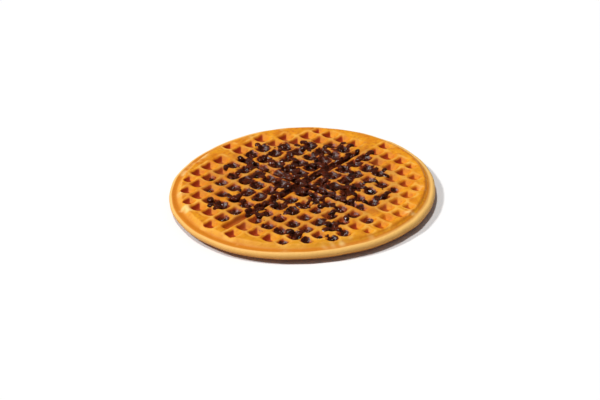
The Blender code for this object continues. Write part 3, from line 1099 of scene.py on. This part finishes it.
def melted_chocolate():
    material, tree, shader = new_material("melted_chocolate")
    place = add(tree, "ShaderNodeTexCoord", {}).outputs["Object"]
    cloud = add(tree, "ShaderNodeTexNoise", {"Vector": place, "Scale": 1 / CLOUD,
                                             "Detail": 3.0}).outputs["Fac"]
    share = add(tree, "ShaderNodeMapRange", {"Value": cloud, "From Min": 0.35, "From Max": 0.65}).outputs[0]
    colour = add(tree, "ShaderNodeMix", {MIX_FACTOR: share, MIX_FIRST: linear(CHOCOLATE_THICK),
                                         MIX_SECOND: linear(CHOCOLATE_THIN)},
                 data_type="RGBA").outputs[MIX_RESULT]
    ripple = add(tree, "ShaderNodeTexNoise", {"Vector": place, "Scale": 1 / RIPPLE,
                                              "Detail": 2.0}).outputs["Fac"]
    bump = add(tree, "ShaderNodeBump", {"Height": ripple, "Strength": 0.10,
                                        "Distance": RIPPLE_DEPTH}).outputs["Normal"]
    tree.links.new(colour, shader.inputs["Base Color"])
    tree.links.new(bump, shader.inputs["Normal"])
    shader.inputs["Roughness"].default_value = CHOCOLATE_ROUGHNESS
    shader.inputs["IOR"].default_value = CHOCOLATE_IOR
    shader.inputs["Specular IOR Level"].default_value = CHOCOLATE_SHINE
    return material


# %% [markdown]
# ## Dressing the pieces
#
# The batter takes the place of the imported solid, which has the chips fused to it, and the chips are a
# piece of their own, because their chocolate is another substance.

# %% Give each piece its substance and its body
def dress(thing, material):
    thing.data.materials.clear()
    thing.data.materials.append(material)
    for face in thing.data.polygons:
        face.use_smooth = True
    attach(thing, "root")


dress(batter, baked_batter())
dress(chips, melted_chocolate())
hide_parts("waffle")


# %% [markdown]
# ## Floor
#
# The waffle lies on a plain pale floor, wide enough that its edge stays out of sight. One large face is
# enough, since the light alone shades it.

# %% Floor
# Pale floor: matt painted board, smooth, with no pattern of its own.
FLOOR_WHITE = "#F6F6F6"
FLOOR_SIZE = 3.0
FLOOR_ROUGHNESS = 0.9


def pale_floor():
    bm = bmesh.new()
    bmesh.ops.create_grid(bm, x_segments=1, y_segments=1, size=FLOOR_SIZE)
    floor = object_from_bmesh(bm, "floor")
    material, tree, shader = new_material("pale_floor")
    shader.inputs["Base Color"].default_value = linear(FLOOR_WHITE)
    shader.inputs["Roughness"].default_value = FLOOR_ROUGHNESS
    floor.data.materials.append(material)


pale_floor()
print("floor, m across:", 2 * FLOOR_SIZE)


# %% [markdown]
# ## Light
#
# A soft light on the left lets the pocket walls that face right fall dark, a second one nearly overhead
# reaches the pocket floors and puts small bright lights on the chocolate, and a pale sky fills the
# shade. Far lights keep the same shade over the whole face, as a lamp close by would not.

# %% Lights
KEY_TURN = 186.0
KEY_ELEVATION = 48.0
KEY_STRENGTH = 1.9
KEY_ANGLE = 7.0
TOP_TURN = 200.0
TOP_ELEVATION = 78.0
TOP_STRENGTH = 1.60
TOP_ANGLE = 6.0
SKY_STRENGTH = 0.16
LIGHT_WHITE = "#FFFFFF"


def sun(name, turn, elevation, strength, angle, colour):
    """A far light that comes from a turn about Z (0 is +X) and an elevation, in degrees."""
    light = bpy.data.lights.new(name, "SUN")
    light.energy = strength
    light.angle = math.radians(angle)
    light.color = linear(colour)[:3]
    lamp = bpy.data.objects.new(name, light)
    turn, elevation = math.radians(turn), math.radians(elevation)
    towards = Vector((math.cos(turn) * math.cos(elevation), math.sin(turn) * math.cos(elevation),
                      math.sin(elevation)))
    lamp.location = towards
    lamp.rotation_euler = (-towards).to_track_quat("-Z", "Y").to_euler()
    bpy.context.scene.collection.objects.link(lamp)


sun("key", KEY_TURN, KEY_ELEVATION, KEY_STRENGTH, KEY_ANGLE, LIGHT_WHITE)
sun("top", TOP_TURN, TOP_ELEVATION, TOP_STRENGTH, TOP_ANGLE, LIGHT_WHITE)
world = bpy.data.worlds.new("sky")
world.use_nodes = True
world.node_tree.nodes["Background"].inputs["Color"].default_value = linear(LIGHT_WHITE)
world.node_tree.nodes["Background"].inputs["Strength"].default_value = SKY_STRENGTH
bpy.context.scene.world = world
bpy.context.scene.view_settings.view_transform = "Standard"


# %% [markdown]
# ## Camera
#
# The camera looks from where the photograph was taken: low in front, far off and rolled a little. Its
# place is worked out from the elevation and the distance, and it is then turned until one point of
# the waffle falls on its pixel, so no lens shift is needed.

# %% Camera
CAMERA_ELEVATION = 28.9
CAMERA_DISTANCE = 1.213
CAMERA_ROLL = -2.42
FOCAL_PIXELS = 1806.0
SENSOR_WIDTH = 36.0
IMAGE_WIDTH, IMAGE_HEIGHT = 600, 400
AIM = Vector((-0.00029, -0.00873, 0.0097))
AIM_PIXEL = (301.5, 190.0)


def photo_camera():
    data = bpy.data.cameras.new("camera")
    data.sensor_width = SENSOR_WIDTH
    data.lens = FOCAL_PIXELS / IMAGE_WIDTH * data.sensor_width
    camera = bpy.data.objects.new("camera", data)
    elevation = math.radians(CAMERA_ELEVATION)
    back = Vector((0.0, -math.cos(elevation), math.sin(elevation)))
    camera.location = AIM + back * CAMERA_DISTANCE
    right_off = math.atan((AIM_PIXEL[0] - IMAGE_WIDTH / 2) / FOCAL_PIXELS)
    up_off = math.atan((IMAGE_HEIGHT / 2 - AIM_PIXEL[1]) / FOCAL_PIXELS)
    level = (-back).to_track_quat("-Z", "Y").to_matrix()
    aim = Matrix.Rotation(-up_off, 3, "X") @ Matrix.Rotation(right_off, 3, "Y")
    roll = Matrix.Rotation(math.radians(CAMERA_ROLL), 3, "Z")
    camera.rotation_euler = (level @ roll @ aim).to_euler()
    bpy.context.scene.collection.objects.link(camera)
    bpy.context.scene.camera = camera


photo_camera()
print("camera, m:", [round(part, 3) for part in bpy.context.scene.camera.location])
